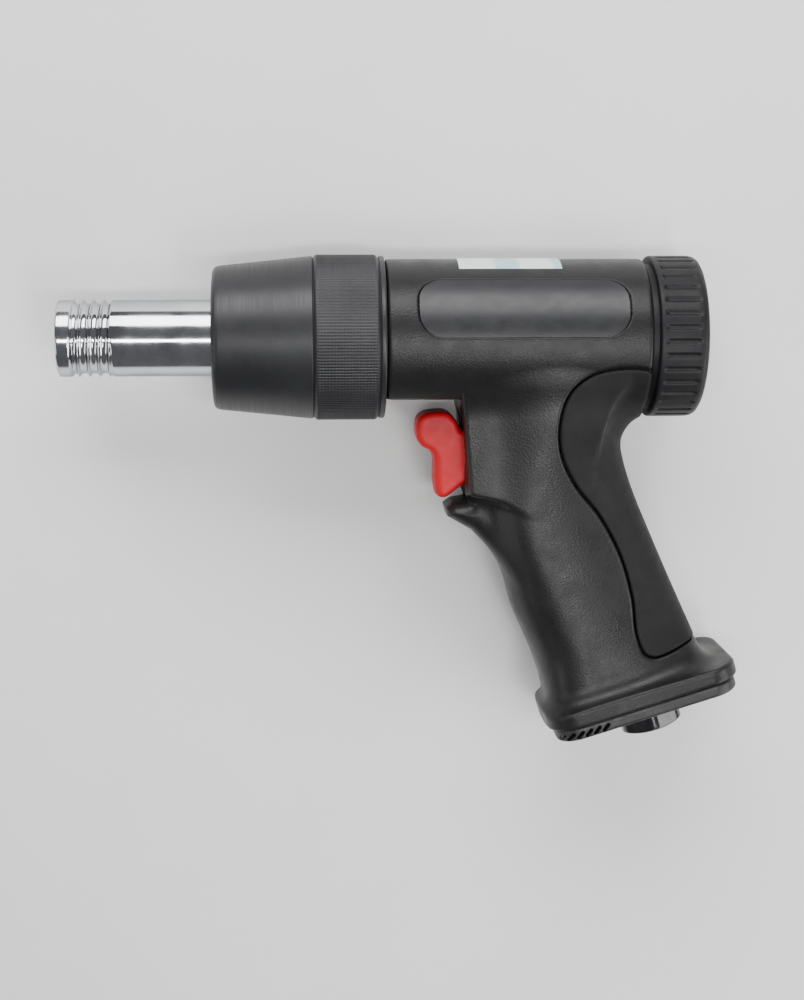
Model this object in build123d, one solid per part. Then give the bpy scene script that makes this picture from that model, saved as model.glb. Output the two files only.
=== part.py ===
from build123d import *
import math
import os

# Pneumatic rivet gun with a .401 in shank bore, lying on its right side.
# Origin: centre of the muzzle, where the rivet set's shank leaves.
# +X runs back along the barrel, +Y is the gun's top, +Z its left side. Millimetres.

# ---- driving dimensions: the barrel line ----
SHANK_BORE_R = 5.125        # takes a .401 in (10.19 mm) shank
SHANK_BORE_LEN = 28.0
BARREL_R = 12.7
PISTON_BORE_R = 9.525
PISTON_R = 9.47
PISTON_LEN = 32.0
VALVE_BORE_R = 13.0
VALVE_FACE_X = 150.0        # front of the valve block, the back of the piston bore
VALVE_PLATE_X = 155.0       # where the front plate meets the back plate's cup
VALVE_BACK_X = 163.0        # back of the valve block, where the lock ring bears
VALVE_DISC_R = 10.2
VALVE_DISC_THICK = 1.6
VALVE_LIFT = 0.8
VALVE_DOWEL_R = 1.0
VALVE_DOWEL_Y = 11.4
VALVE_PORT_R = 1.6
BARREL_LEN = 168.0
BARREL_LAND_R = 17.42
BARREL_WAIST_R = 15.2
BARREL_WAIST_X = (94.0, 144.0)
BARREL_EXHAUST_X = 108.0    # the piston uncovers these holes near the front of its stroke
BARREL_EXHAUST_R = 2.5
AIR_GROOVE_X = (152.0, 163.0)   # live air runs round the barrel here to the valve's side ports
AIR_GROOVE_R = 15.4
O_RING_X = (148.5, 165.5)
O_RING_R = 16.2
O_RING_WIRE_R = 1.15
O_RING_GROOVE_R = 15.05
SHOULDER_X = 88.0           # stop shoulder that meets the front bumper
NOSE_GROOVE_X = 5.7
NOSE_GROOVE_COUNT = 4
NOSE_GROOVE_PITCH = 3.4     # coarse round thread for a coil retainer
NOSE_GROOVE_WIRE_R = 1.65
NOSE_GROOVE_DEPTH = 1.2

# ---- driving dimensions: the housing and its ends ----
HOUSING_R = 26.0
HOUSING_BORE_R = 17.5
HOUSING_FRONT_X = 108.0
HOUSING_BACK_X = 194.5
HOUSING_NOSE_R = 21.95
HOUSING_NOSE_X = 86.0
UNDERSIDE_FLAT_Y = -19.5
COLLAR_FRONT_X = 51.0
COLLAR_FRONT_R = 23.9
COLLAR_BACK_R = 27.2
COLLAR_BORE_R = 13.3
SEAL_SEAT_X = 54.0
BUSHING_X = (58.0, 76.0)
BUSHING_SEAT_R = 17.0
BUMPER_SEAT_R = 18.2
KNURL_R = 27.6
KNURL_X = (84.3, 105.7)
CAP_R = 27.0
CAP_X = (196.6, 213.0)
CAP_NECK_R = 24.2           # shows as a dark groove between the housing and the cap
CAP_THREAD_R = 21.0
CAP_RIB_COUNT = 36
CAP_RIB_X = (198.2, 210.4)
CAP_DISH_R = 18.0
CAP_DISH_DEPTH = 1.0
SPRING_SEAT_X = 207.5       # inner face of the cap, where the isolator spring bears
PANEL_X = (118.0, 187.0)
PANEL_HEIGHT = 21.0         # across the panel, measured on its flat
PANEL_TILT = 26.4           # degrees from the side towards the top
PANEL_DEPTH = 0.8
PLATE_THICK = 0.5
LABEL_X = (132.0, 166.0)
LABEL_HALF_Z = 12.0

# ---- driving dimensions: the handle ----
# A handle point is (u, w, z): u to the back across the handle, w up its axis from the flange's
# bottom plane, z to the gun's left.
HANDLE_FOOT = (197.7, -122.8)
HANDLE_TILT = 17.0          # degrees, the foot behind the top
FLANGE_U = (-35.4, 31.7)
FLANGE_HALF_Z = 22.6
FLANGE_CORNER_R = 10.0
FLANGE_THICK = 5.4
BASE_CAP_THICK = 4.6
BLOCK_HALF_Z = (16.8, 21.2)  # half width at the block's front and at its back
BLOCK_X = (132.6, 170.0)
NOSE_HALF_Z = 13.0
THROTTLE_Y = -38.0
THROTTLE_BORE_R = 7.0
THROTTLE_CHAMBER_X = 176.0
THROTTLE_BORE_X = (138.0, 182.0)    # the last stretch is the spring's narrower pocket
SPRING_POCKET_R = 4.0
STEM_BACK_X = 169.8
INLET_BORE_R = 5.5
INLET_THREAD_R = 9.5
INLET_NPT_R = 5.7           # minor radius of a 1/4 in NPT thread
HEX_FLATS = 21.0
EXHAUST_U = -20.0           # middle of the exhaust chamber
SCREW_U, SCREW_Z = 17.0, 9.5
SCREW_HEAD_R = 3.4
SLOT_COUNT = 6              # exhaust slots in each side wall of the base cap
SLOT_PITCH = 3.0
SLOT_U = -32.4
SLOT_W = -2.9
SLOT_LEAN = 37.0            # degrees up from the flange's plane
TRIGGER_HALF_Z = 7.5
PIN_X = 136.0
FIT = 0.05                  # radial clearance of a running fit

# The grip's sections, foot to top: height w, front u, the u where it is widest, back u, half width.
GRIP_SECTIONS = (
    (9.0, -33.0, -14.8, 23.2, 18.2),
    (22.0, -32.8, -16.0, 21.6, 17.7),
    (40.0, -35.2, -18.0, 19.2, 17.7),
    (55.0, -34.7, -19.0, 17.4, 18.1),
    (70.0, -35.2, -20.0, 15.8, 18.6),
    (84.0, -33.6, -15.5, 16.4, 19.4),
    (96.0, -30.0, -8.0, 23.0, 20.4),
    (108.0, -28.0, -2.0, 28.0, 21.2),
)
GRIP_POWER = 2.5            # exponent of the sections' super-ellipse: 2 would be an oval
PALM_PAD_DEPTH = 3.0
PAD_SKIN = 1.2              # depth of the pad where it laps onto the cylinder
# Outline of the palm pad as seen from the side, in X, Y, clockwise from its top back corner.
PALM_OUTLINE = (
    (193.8, -9.5), (177.4, -9.5), (168.0, -16.4), (164.5, -27.0), (165.4, -38.0),
    (170.2, -48.0), (179.6, -59.6), (187.3, -74.4), (191.0, -88.0), (192.2, -99.5),
    (197.4, -107.6), (207.0, -105.7), (226.0, -99.8),
)


def turned(*profile):
    """A solid of revolution about the barrel axis from (x, radius) points."""
    face = make_face(Polyline(*profile, close=True))
    return revolve(face, Axis.X)


def tube(x0, x1, r_out, r_in=0.0):
    """A plain tube, or a rod where r_in is 0, along the barrel axis."""
    return turned((x0, r_in), (x1, r_in), (x1, r_out), (x0, r_out))


def along_x(solid, x, y=0.0, z=0.0):
    """Turns a solid made about Z to lie about X, with its centre at x, y, z."""
    return Pos(x, y, z) * Rot(0, 90, 0) * solid


def handle_plane(w, u=0.0, z=0.0):
    """The plane across the handle at height w: its X is u and its Y is the gun's left."""
    tilt = math.radians(HANDLE_TILT)
    x = HANDLE_FOOT[0] + u * math.cos(tilt) - w * math.sin(tilt)
    y = HANDLE_FOOT[1] + u * math.sin(tilt) + w * math.cos(tilt)
    across = (math.cos(tilt), math.sin(tilt), 0)
    down = (math.sin(tilt), -math.cos(tilt), 0)
    return Plane(origin=(x, y, z), x_dir=across, z_dir=down)


def handle_prism(sketch, w0, w1, u=0.0, z=0.0):
    """Extrudes a sketch along the handle from height w0 up to w1."""
    return extrude(handle_plane(w0, u, z) * sketch, -(w1 - w0))


def handle_tube(w0, w1, r_out, r_in=0.0, u=0.0, z=0.0):
    """A tube along the handle's axis."""
    sketch = Circle(r_out)
    if r_in > 0:
        sketch -= Circle(r_in)
    return handle_prism(sketch, w0, w1, u, z)


def helix_spring(x0, x1, coil_r, wire_r, turns):
    """A round-wire coil spring along the barrel axis between two planes."""
    length = x1 - x0 - 2 * wire_r
    path = Helix(pitch=length / turns, height=length, radius=coil_r)
    wire = Plane(origin=path @ 0, z_dir=path % 0) * Circle(wire_r)
    return along_x(sweep(wire, path=path, is_frenet=True), x0 + wire_r)


# ---- barrel group ----

def barrel():
    waist_front, waist_back = BARREL_WAIST_X
    body = turned(
        (0, 0), (BARREL_LEN, 0), (BARREL_LEN, BARREL_LAND_R), (waist_back, BARREL_LAND_R),
        (waist_back, BARREL_WAIST_R), (waist_front, BARREL_WAIST_R), (waist_front, BARREL_LAND_R),
        (SHOULDER_X, BARREL_LAND_R), (SHOULDER_X, BARREL_R), (0.8, BARREL_R), (0, BARREL_R - 0.8),
    )
    for turn in range(NOSE_GROOVE_COUNT):
        x = NOSE_GROOVE_X + turn * NOSE_GROOVE_PITCH
        r = BARREL_R - NOSE_GROOVE_DEPTH + NOSE_GROOVE_WIRE_R
        body -= revolve(Pos(x, r) * Circle(NOSE_GROOVE_WIRE_R), Axis.X)
    body -= tube(-1, SHANK_BORE_LEN + 1, SHANK_BORE_R)
    body -= tube(SHANK_BORE_LEN, VALVE_FACE_X + 1, PISTON_BORE_R)
    body -= tube(VALVE_FACE_X, BARREL_LEN + 1, VALVE_BORE_R)
    body -= tube(*AIR_GROOVE_X, BARREL_LAND_R + 1, AIR_GROOVE_R)
    for x in O_RING_X:
        body -= tube(x - 1.3, x + 1.3, BARREL_LAND_R + 1, O_RING_GROOVE_R)
    for angle in range(0, 360, 90):
        body -= Rot(angle + 45, 0, 0) * Pos(BARREL_EXHAUST_X, 0, 12) * Cylinder(BARREL_EXHAUST_R, 12)
        body -= Rot(angle, 0, 0) * Pos(158, 0, 14) * Cylinder(VALVE_PORT_R, 8)
    return body


def barrel_o_rings():
    return [along_x(Torus(O_RING_R, O_RING_WIRE_R), x) for x in O_RING_X]


def piston():
    back = VALVE_FACE_X - 0.6
    front = back - PISTON_LEN
    return turned(
        (front, 0), (back, 0), (back, PISTON_R - 1), (back - 1, PISTON_R), (front + 4, PISTON_R),
        (front + 4, 8.6), (front + 1.2, 8.6), (front, 7.4),
    )


def valve_front_plate():
    plate = tube(VALVE_FACE_X + 0.05, VALVE_PLATE_X, VALVE_BORE_R - FIT, 3.0)
    for angle in range(0, 360, 60):
        plate -= Rot(angle, 0, 0) * along_x(Cylinder(1.2, 20), VALVE_PLATE_X, 0, 7.2)
    return plate - along_x(Cylinder(VALVE_DOWEL_R + 0.03, 20), VALVE_PLATE_X, VALVE_DOWEL_Y)


def valve_disc():
    front = VALVE_PLATE_X + 0.1
    return tube(front, front + VALVE_DISC_THICK, VALVE_DISC_R, 2.0)


def valve_back_plate():
    floor = VALVE_PLATE_X + VALVE_DISC_THICK + VALVE_LIFT + 0.2
    cup = tube(VALVE_PLATE_X, VALVE_BACK_X, VALVE_BORE_R - FIT)
    cup -= tube(VALVE_PLATE_X - 1, floor, VALVE_DISC_R + 0.07)
    for angle in range(0, 360, 90):
        cup -= Rot(angle + 45, 0, 0) * Pos(158.5, 0, 10) * Cylinder(VALVE_PORT_R, 14)
        cup -= Rot(angle + 45, 0, 0) * along_x(Cylinder(VALVE_PORT_R, 4), 158, 0, 6)
    return cup - along_x(Cylinder(VALVE_DOWEL_R + 0.03, 20), VALVE_FACE_X, VALVE_DOWEL_Y)


def valve_dowel():
    return along_x(Cylinder(VALVE_DOWEL_R, 8), VALVE_PLATE_X + 0.5, VALVE_DOWEL_Y)


def valve_lock_ring():
    """Threaded ring behind the valve block, with two holes for a pin spanner."""
    ring = tube(VALVE_BACK_X + 0.05, BARREL_LEN - 0.5, VALVE_BORE_R - FIT, 6.5)
    for angle in (0, 180):
        ring -= Rot(angle, 0, 0) * along_x(Cylinder(1.2, 6), 167.5, 0, 9.8)
    return ring


def rear_isolator_spring():
    return helix_spring(BARREL_LEN + 0.1, SPRING_SEAT_X - 0.1, 13.6, 1.6, 6)


# ---- front collar group ----

def front_collar():
    x0, x1 = COLLAR_FRONT_X, HOUSING_FRONT_X - 0.2
    body = turned(
        (x0, COLLAR_BORE_R), (x0, COLLAR_FRONT_R - 2.0), (x0 + 0.6, COLLAR_FRONT_R - 0.7),
        (x0 + 2.2, COLLAR_FRONT_R + 0.1), (KNURL_X[0] - 0.4, COLLAR_BACK_R - 0.2),
        (KNURL_X[0], COLLAR_BACK_R - 0.6), (KNURL_X[0] + 0.5, KNURL_R - 0.2),
        (KNURL_X[0] + 0.8, KNURL_R), (KNURL_X[1] - 0.8, KNURL_R), (KNURL_X[1] - 0.3, KNURL_R - 0.3),
        (KNURL_X[1], COLLAR_BACK_R - 0.6), (KNURL_X[1] + 0.4, COLLAR_BACK_R - 0.2),
        (x1 - 0.5, COLLAR_BACK_R - 0.2), (x1, COLLAR_BACK_R - 0.7),
        (x1, COLLAR_BORE_R),
    )
    body -= tube(SEAL_SEAT_X, BUSHING_X[1], BUSHING_SEAT_R)
    body -= tube(BUSHING_X[1] - 1, 83, BUMPER_SEAT_R)
    return body - tube(82, 110, HOUSING_NOSE_R + FIT)


def front_wiper_seal():
    inner, lip = BARREL_R + FIT, SEAL_SEAT_X - 1.6
    front, back = SEAL_SEAT_X + 0.02, BUSHING_X[0] - 0.2
    return turned((lip, inner), (back, inner), (back, BUSHING_SEAT_R), (front, BUSHING_SEAT_R),
                  (front, COLLAR_BORE_R - 0.02), (lip, COLLAR_BORE_R - 0.2))


def front_guide_bushing():
    """Plain bearing for the barrel, with a grease groove."""
    bush = tube(*BUSHING_X, BUSHING_SEAT_R, BARREL_R + FIT)
    return bush - tube(66, 68, BARREL_R + 0.9, BARREL_R - 1)


def front_bumper():
    return turned((76.1, 13.2), (SHOULDER_X - 0.1, 13.2), (SHOULDER_X - 0.1, 16.6), (84, 17.2),
                  (80, 17.2), (76.1, 16.6))


def collar_o_ring():
    return along_x(Torus(20.4, 1.4), 84.4)


# ---- handle shapes, shared by the housing and the palm pad ----

def grip_section(w, front, widest, back, half_z, inset=0.0):
    """An egg-shaped face across the handle, drawn in by inset on every side."""
    points = []
    for step in range(28):
        angle = math.radians(360 * step / 28)
        c, s = math.cos(angle), math.sin(angle)
        reach = (back - widest if c > 0 else widest - front) - inset
        u = widest + reach * math.copysign(abs(c) ** (2 / GRIP_POWER), c)
        z = (half_z - inset) * math.copysign(abs(s) ** (2 / GRIP_POWER), s)
        points.append((u, z))
    return handle_plane(w) * make_face(Spline(*points, periodic=True))


def grip_solid(inset=0.0):
    """The grip as a smooth loft from the foot to inside the housing's cylinder."""
    return loft([grip_section(*row, inset=inset) for row in GRIP_SECTIONS])


def flange_outline(inset=0.0):
    length = FLANGE_U[1] - FLANGE_U[0] - 2 * inset
    return RectangleRounded(length, 2 * (FLANGE_HALF_Z - inset), FLANGE_CORNER_R - inset)


def flange_solid():
    """The foot's flange, with a cone that draws in to the grip above it."""
    centre = (FLANGE_U[0] + FLANGE_U[1]) / 2
    plate = handle_prism(flange_outline(), 0, FLANGE_THICK, centre)
    base = handle_plane(FLANGE_THICK - 0.01, centre) * flange_outline(3.2)
    w, *section = GRIP_SECTIONS[0]
    return plate + loft([base, grip_section(w + 3.0, *section, inset=2.0)])


def trigger_block():
    """The flat-sided block behind the trigger, with the nose that reaches under it."""
    block_side = make_face(
        Polyline((160, -8), (132.6, -8), (132.6, -16), (135.4, -51.4), (151, -54.6),
                 (168, -60), (176, -20), close=True))
    nose_side = make_face(
        Polyline((150, -45), (134.8, -45), (135.2, -54.6), (130.0, -55.2), (128.0, -57.0),
                 (128.4, -59.6), (137, -63.4), (144.4, -71.0), (162, -71.0), close=True))
    (x0, x1), (z0, z1) = BLOCK_X, BLOCK_HALF_Z
    wedge = make_face(Polyline((x0 - 1, z0), (x1 + 8, z1), (x1 + 8, -z1), (x0 - 1, -z0), close=True))
    block = extrude(block_side, 30, both=True) & extrude(Plane.XZ * wedge, 100, both=True)
    return block + extrude(nose_side, NOSE_HALF_Z, both=True)


def saddle(inset=0.0):
    """Concave-sided web that spreads the handle's top onto the cylinder."""
    low, high = -25.0, -9.0 - inset
    narrow, wide = BLOCK_HALF_Z[0] - 0.1 - inset, 24.3 - inset
    right = ThreePointArc((low, narrow), (low + 9.0, narrow + 1.4), (high, wide))
    left = ThreePointArc((high, -wide), (low + 9.0, -narrow - 1.4), (low, -narrow))
    edges = [right, Line((high, wide), (high, -wide)), left, Line((low, -narrow), (low, narrow))]
    across = Plane(origin=(132.8 + inset, 0, 0), x_dir=(0, 1, 0), z_dir=(1, 0, 0))
    return extrude(across * make_face(edges), 60.0 - 2 * inset)


def palm_prism(outset=0.0):
    face = make_face(Polyline(*PALM_OUTLINE, close=True))
    if outset:
        face = offset(face, outset, kind=Kind.INTERSECTION)
    return extrude(face, 40, both=True)


def handle_core():
    """What is left of the handle under the palm pad."""
    skin_r = HOUSING_R - PAD_SKIN
    return grip_solid(PALM_PAD_DEPTH) + saddle(PALM_PAD_DEPTH) + tube(150, HOUSING_BACK_X, skin_r)


def cap_space():
    """Room round the rear cap, which the handle stays out of."""
    return tube(HOUSING_BACK_X, CAP_X[1] + 1, CAP_R + 0.6)


def palm_grip():
    """Soft pad let into the back of the grip and up onto the cylinder."""
    outer = grip_solid(0.02) + saddle() + tube(150, HOUSING_BACK_X, HOUSING_R)
    pad = (outer & palm_prism(-0.05)) - handle_core() - cap_space()
    return max(pad.solids(), key=lambda solid: solid.volume)


def palm_pocket():
    outer = grip_solid(-1.0) + saddle(-1.0) + tube(150, HOUSING_BACK_X, HOUSING_R + 1)
    return (outer & palm_prism()) - handle_core()


# ---- housing ----

def panel_prism(side, inset=0.0):
    """A stadium-ended block through the panel, on the left (side 1) or the right (-1)."""
    width = PANEL_X[1] - PANEL_X[0] - 2 * inset
    height = PANEL_HEIGHT - 2 * inset
    sketch = RectangleRounded(width, height, 8.0 - inset)
    block = Pos((PANEL_X[0] + PANEL_X[1]) / 2, 0, HOUSING_R) * extrude(sketch, 8, both=True)
    turned_up = Rot(-PANEL_TILT, 0, 0) * block
    return turned_up if side > 0 else mirror(turned_up, about=Plane.XY)


def panel_recess(side):
    return panel_prism(side) - tube(100, 200, HOUSING_R - PANEL_DEPTH)


def side_plate(side):
    """Blank plate that fills the panel's recess."""
    seat = HOUSING_R - PANEL_DEPTH
    skin = tube(100, 200, seat + PLATE_THICK, seat)
    return panel_prism(side, 0.4) & skin


def top_label():
    skin = tube(*LABEL_X, HOUSING_R + 0.25, HOUSING_R)
    patch = Pos(sum(LABEL_X) / 2, HOUSING_R, 0) * Box(60, 20, 2 * LABEL_HALF_Z)
    return skin & patch


def exhaust_duct(side):
    """Drilled duct from the space round the barrel down to the exhaust chamber."""
    tilt = math.radians(HANDLE_TILT)
    u, w = -19.0, 26.0
    x = HANDLE_FOOT[0] + u * math.cos(tilt) - w * math.sin(tilt)
    y = HANDLE_FOOT[1] + u * math.sin(tilt) + w * math.cos(tilt)
    top = Vector(143, -12, side * 12.0)
    run = Vector(x, y, side * 10.5) - top
    return extrude(Plane(origin=top, z_dir=run) * Circle(2.8), run.length)


def exhaust_chamber():
    return handle_prism(RectangleRounded(16, 28, 6), -1, 30, u=EXHAUST_U)


def trigger_slot():
    return Pos(138.2, -39.5, 0) * Box(14, 30.2, 2 * TRIGGER_HALF_Z + 0.6)


def throttle_bore():
    """Stepped blind bore for the throttle, drilled from the trigger's slot."""
    x0, x1 = THROTTLE_BORE_X
    bore = tube(x0, THROTTLE_CHAMBER_X, THROTTLE_BORE_R) + tube(x0, x1, SPRING_POCKET_R)
    return Pos(0, THROTTLE_Y, 0) * bore


def housing():
    """One casting: the cylinder, the handle, the trigger block and the foot's flange."""
    cylinder = turned(
        (HOUSING_NOSE_X, 0), (HOUSING_NOSE_X, HOUSING_NOSE_R), (HOUSING_FRONT_X, HOUSING_NOSE_R),
        (HOUSING_FRONT_X, HOUSING_R - 0.8), (HOUSING_FRONT_X + 0.8, HOUSING_R),
        (HOUSING_BACK_X - 0.8, HOUSING_R), (HOUSING_BACK_X, HOUSING_R - 0.8), (HOUSING_BACK_X, 0),
    )
    flat = Pos(120.2, UNDERSIDE_FLAT_Y - 5, 0) * Box(24.8, 10, 60)
    cylinder -= flat & tube(108, 140, 40, HOUSING_NOSE_R - 20)
    body = cylinder + grip_solid() + saddle() + trigger_block() + flange_solid()
    body -= palm_pocket()
    body -= cap_space()
    body -= tube(80, 186, HOUSING_BORE_R)
    body -= tube(185, 200, CAP_THREAD_R)
    body -= trigger_slot()
    body -= throttle_bore()
    body -= handle_tube(-1, 92, INLET_BORE_R)
    body -= handle_tube(-1, 17, INLET_THREAD_R)
    body -= Pos(160, -26, 0) * Rot(90, 0, 0) * Cylinder(2.6, 26)
    body -= exhaust_chamber()
    for side in (1, -1):
        body -= exhaust_duct(side)
        body -= panel_recess(side)
        body -= handle_tube(-1, 9, 1.65, u=SCREW_U, z=side * SCREW_Z)
    return body


# ---- rear cap group ----

def rear_cap():
    x0, x1 = CAP_X
    cap = turned(
        (x0, 14), (x0, CAP_R - 0.6), (x0 + 0.6, CAP_R), (x1 - 3.2, CAP_R), (x1 - 1.2, CAP_R - 0.8),
        (x1 - 0.2, CAP_R - 2.4), (x1, CAP_R - 3.4), (x1, 14),
    )
    cap += tube(HOUSING_BACK_X + 0.1, x0 + 1, CAP_NECK_R)
    cap += tube(188.2, x1, CAP_THREAD_R - FIT)
    cap -= tube(180, SPRING_SEAT_X, 16.5)
    cap -= tube(x1 - CAP_DISH_DEPTH, x1 + 1, CAP_DISH_R)
    for rib in range(CAP_RIB_COUNT):
        groove = Pos(sum(CAP_RIB_X) / 2, CAP_R + 0.2, 0) * Box(CAP_RIB_X[1] - CAP_RIB_X[0], 1.4, 1.5)
        cap -= Rot(rib * 360 / CAP_RIB_COUNT, 0, 0) * groove
    return cap


def rear_cap_o_ring():
    return along_x(Torus(19.2, 1.2), 186.8)


# ---- trigger and throttle ----

def trigger():
    head = Polyline((118.8, -27.6), (121.6, -25.1), (129.3, -24.9), (133.4, -29.6),
                    (140.0, -30.4), (140.0, -48.0), (136.2, -48.3), (127.3, -53.8),
                    (125.0, -53.0), (124.2, -40.4), (122.6, -37.4), (119.8, -35.8),
                    (118.3, -32.6), close=True)
    body = extrude(make_face(head), TRIGGER_HALF_Z, both=True)
    long_edges = body.edges().filter_by(GeomType.LINE)
    front_edges = [e for e in long_edges if e.center().X < 133.5 and abs(e.center().Z) > 7]
    body = fillet(front_edges, 1.6)
    body -= along_x(Cylinder(2.02, 16), 140, THROTTLE_Y)
    return body - trigger_pin()


def trigger_pin():
    """Cross pin that holds the trigger on the throttle stem."""
    return Pos(PIN_X, THROTTLE_Y, 0) * Cylinder(0.8, 2 * TRIGGER_HALF_Z - 0.4)


def throttle_stem():
    stem = turned(
        (132.2, 0), (STEM_BACK_X, 0), (STEM_BACK_X, 4.6), (165.2, 4.6), (165.15, 3.4), (163.4, 1.8),
        (153, 1.8), (150, 2.0), (132.2, 2.0),
    )
    return Pos(0, THROTTLE_Y, 0) * stem - trigger_pin()


def throttle_bushing():
    bush = tube(147.2, 163.6, THROTTLE_BORE_R, 2.06)
    bush -= tube(157, 163.7, 4.2)
    bush -= tube(158, 162, THROTTLE_BORE_R + 1, 5.8)
    for angle in range(0, 360, 90):
        bush -= Rot(angle, 0, 0) * Pos(160, 0, 5) * Cylinder(1.4, 8)
    return Pos(0, THROTTLE_Y, 0) * bush


def throttle_seat():
    seat = tube(163.65, 165.1, THROTTLE_BORE_R, 3.6)
    return Pos(0, THROTTLE_Y, 0) * seat


def throttle_spring():
    coil = helix_spring(STEM_BACK_X + 0.1, THROTTLE_BORE_X[1], 3.2, 0.5, 4)
    return Pos(0, THROTTLE_Y, 0) * coil


# ---- foot group ----

def base_cap():
    """Exhaust cover under the flange, with slanted slots in its side walls."""
    centre = (FLANGE_U[0] + FLANGE_U[1]) / 2
    cap = handle_prism(flange_outline(1.4), -BASE_CAP_THICK, -0.02, centre)
    cap -= handle_prism(RectangleRounded(21.5, 36, 9), -3.0, 1, u=-19.0)
    cap -= handle_tube(-10, 2, INLET_THREAD_R + 0.1)
    for side in (1, -1):
        cap -= handle_tube(-10, 1, 2.2, u=SCREW_U, z=side * SCREW_Z)
        for slot in range(SLOT_COUNT):
            leaning = Rot(0, SLOT_LEAN - 90, 0) * Box(1.15, 7, 3.4)
            place = handle_plane(SLOT_W, SLOT_U + SLOT_PITCH * slot, side * 20.2)
            cap -= place.location * leaning
    return cap


def base_cap_screws():
    heads = []
    for side in (1, -1):
        u, z = SCREW_U, side * SCREW_Z
        head = handle_tube(-BASE_CAP_THICK - 1.8, -BASE_CAP_THICK - 0.02, SCREW_HEAD_R, u=u, z=z)
        socket = handle_prism(RegularPolygon(1.5, 6), -10, -BASE_CAP_THICK - 0.6, u, z)
        shank = handle_tube(-BASE_CAP_THICK - 0.1, 8, 1.6, u=u, z=z)
        heads.append(head + shank - socket)
    return heads


def muffler_felt():
    return handle_prism(RectangleRounded(15.8, 27.8, 5.9), -2.6, 21, u=EXHAUST_U)


def inlet_washer():
    return handle_tube(-BASE_CAP_THICK - 1.0, -BASE_CAP_THICK - 0.02, 11.2, INLET_THREAD_R + 0.1)


def air_inlet_bushing():
    w_face = -BASE_CAP_THICK - 1.02
    hexagon = Rot(0, 0, 30) * RegularPolygon(HEX_FLATS / 2, 6, major_radius=False)
    head = handle_prism(hexagon, w_face - 7.4, w_face)
    top_chamfer = handle_prism(Circle(HEX_FLATS / 2 + 0.9), w_face - 7.4, w_face)
    body = (head & top_chamfer) + handle_tube(w_face - 0.1, 15, INLET_THREAD_R - 0.02)
    body -= handle_tube(w_face - 10, 5, INLET_NPT_R)
    return body - handle_tube(4, 20, 4.6)


def inlet_screen():
    screen = handle_tube(5.0, 13.5, 4.55, 3.9) + handle_tube(13.0, 13.6, 4.55)
    for angle in range(0, 360, 45):
        a = math.radians(angle)
        screen -= handle_tube(12, 15, 0.7, u=2.6 * math.cos(a), z=2.6 * math.sin(a))
    return screen


NODES = {
    "barrel": barrel,
    "barrel_o_rings": barrel_o_rings,
    "piston": piston,
    "valve_front_plate": valve_front_plate,
    "valve_disc": valve_disc,
    "valve_back_plate": valve_back_plate,
    "valve_dowel": valve_dowel,
    "valve_lock_ring": valve_lock_ring,
    "rear_isolator_spring": rear_isolator_spring,
    "front_collar": front_collar,
    "front_wiper_seal": front_wiper_seal,
    "front_guide_bushing": front_guide_bushing,
    "front_bumper": front_bumper,
    "collar_o_ring": collar_o_ring,
    "housing": housing,
    "side_plate_left": lambda: side_plate(1),
    "side_plate_right": lambda: side_plate(-1),
    "top_label": top_label,
    "palm_grip": palm_grip,
    "rear_cap": rear_cap,
    "rear_cap_o_ring": rear_cap_o_ring,
    "trigger": trigger,
    "trigger_pin": trigger_pin,
    "throttle_stem": throttle_stem,
    "throttle_bushing": throttle_bushing,
    "throttle_seat": throttle_seat,
    "throttle_spring": throttle_spring,
    "base_cap": base_cap,
    "base_cap_screws": base_cap_screws,
    "muffler_felt": muffler_felt,
    "inlet_washer": inlet_washer,
    "air_inlet_bushing": air_inlet_bushing,
    "inlet_screen": inlet_screen,
}

os.makedirs("parts", exist_ok=True)
for name, make in NODES.items():
    shape = make()
    if isinstance(shape, list):
        shape = Compound(children=shape)
    export_step(shape, f"parts/{name}.step")
    print(name, "written")
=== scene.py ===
import math

import bpy
import numpy as np
from mathutils import Matrix, Vector


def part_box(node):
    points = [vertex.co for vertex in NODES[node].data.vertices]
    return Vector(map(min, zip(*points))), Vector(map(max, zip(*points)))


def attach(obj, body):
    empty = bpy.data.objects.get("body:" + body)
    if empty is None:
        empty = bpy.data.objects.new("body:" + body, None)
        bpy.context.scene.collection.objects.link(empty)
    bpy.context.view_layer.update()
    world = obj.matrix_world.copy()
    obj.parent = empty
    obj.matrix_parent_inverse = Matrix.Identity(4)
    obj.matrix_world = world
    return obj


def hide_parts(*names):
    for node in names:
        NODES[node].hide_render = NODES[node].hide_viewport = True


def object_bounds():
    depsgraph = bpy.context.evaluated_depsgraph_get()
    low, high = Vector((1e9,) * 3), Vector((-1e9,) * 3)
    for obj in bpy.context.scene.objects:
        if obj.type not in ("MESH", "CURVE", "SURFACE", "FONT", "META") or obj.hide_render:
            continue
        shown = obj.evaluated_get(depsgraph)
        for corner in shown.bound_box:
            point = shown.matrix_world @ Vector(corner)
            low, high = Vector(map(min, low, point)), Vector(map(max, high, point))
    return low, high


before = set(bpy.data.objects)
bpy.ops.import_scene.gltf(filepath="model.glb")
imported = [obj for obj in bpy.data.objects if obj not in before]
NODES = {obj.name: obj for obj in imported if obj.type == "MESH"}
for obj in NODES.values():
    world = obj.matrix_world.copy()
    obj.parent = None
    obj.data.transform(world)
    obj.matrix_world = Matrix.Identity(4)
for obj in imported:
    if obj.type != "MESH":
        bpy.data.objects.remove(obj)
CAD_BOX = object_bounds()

# The shapes below are worked out in millimetres in the part's frame: x runs back along the barrel,
# y is the gun's top and z its left side. Meshes are written in metres.
MM = 0.001


def span(node):
    """Lowest and highest corner of a CAD node, in millimetres."""
    low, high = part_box(node)
    return np.array(low) / MM, np.array(high) / MM


# ---------------------------------------------------------------- sizes

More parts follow.
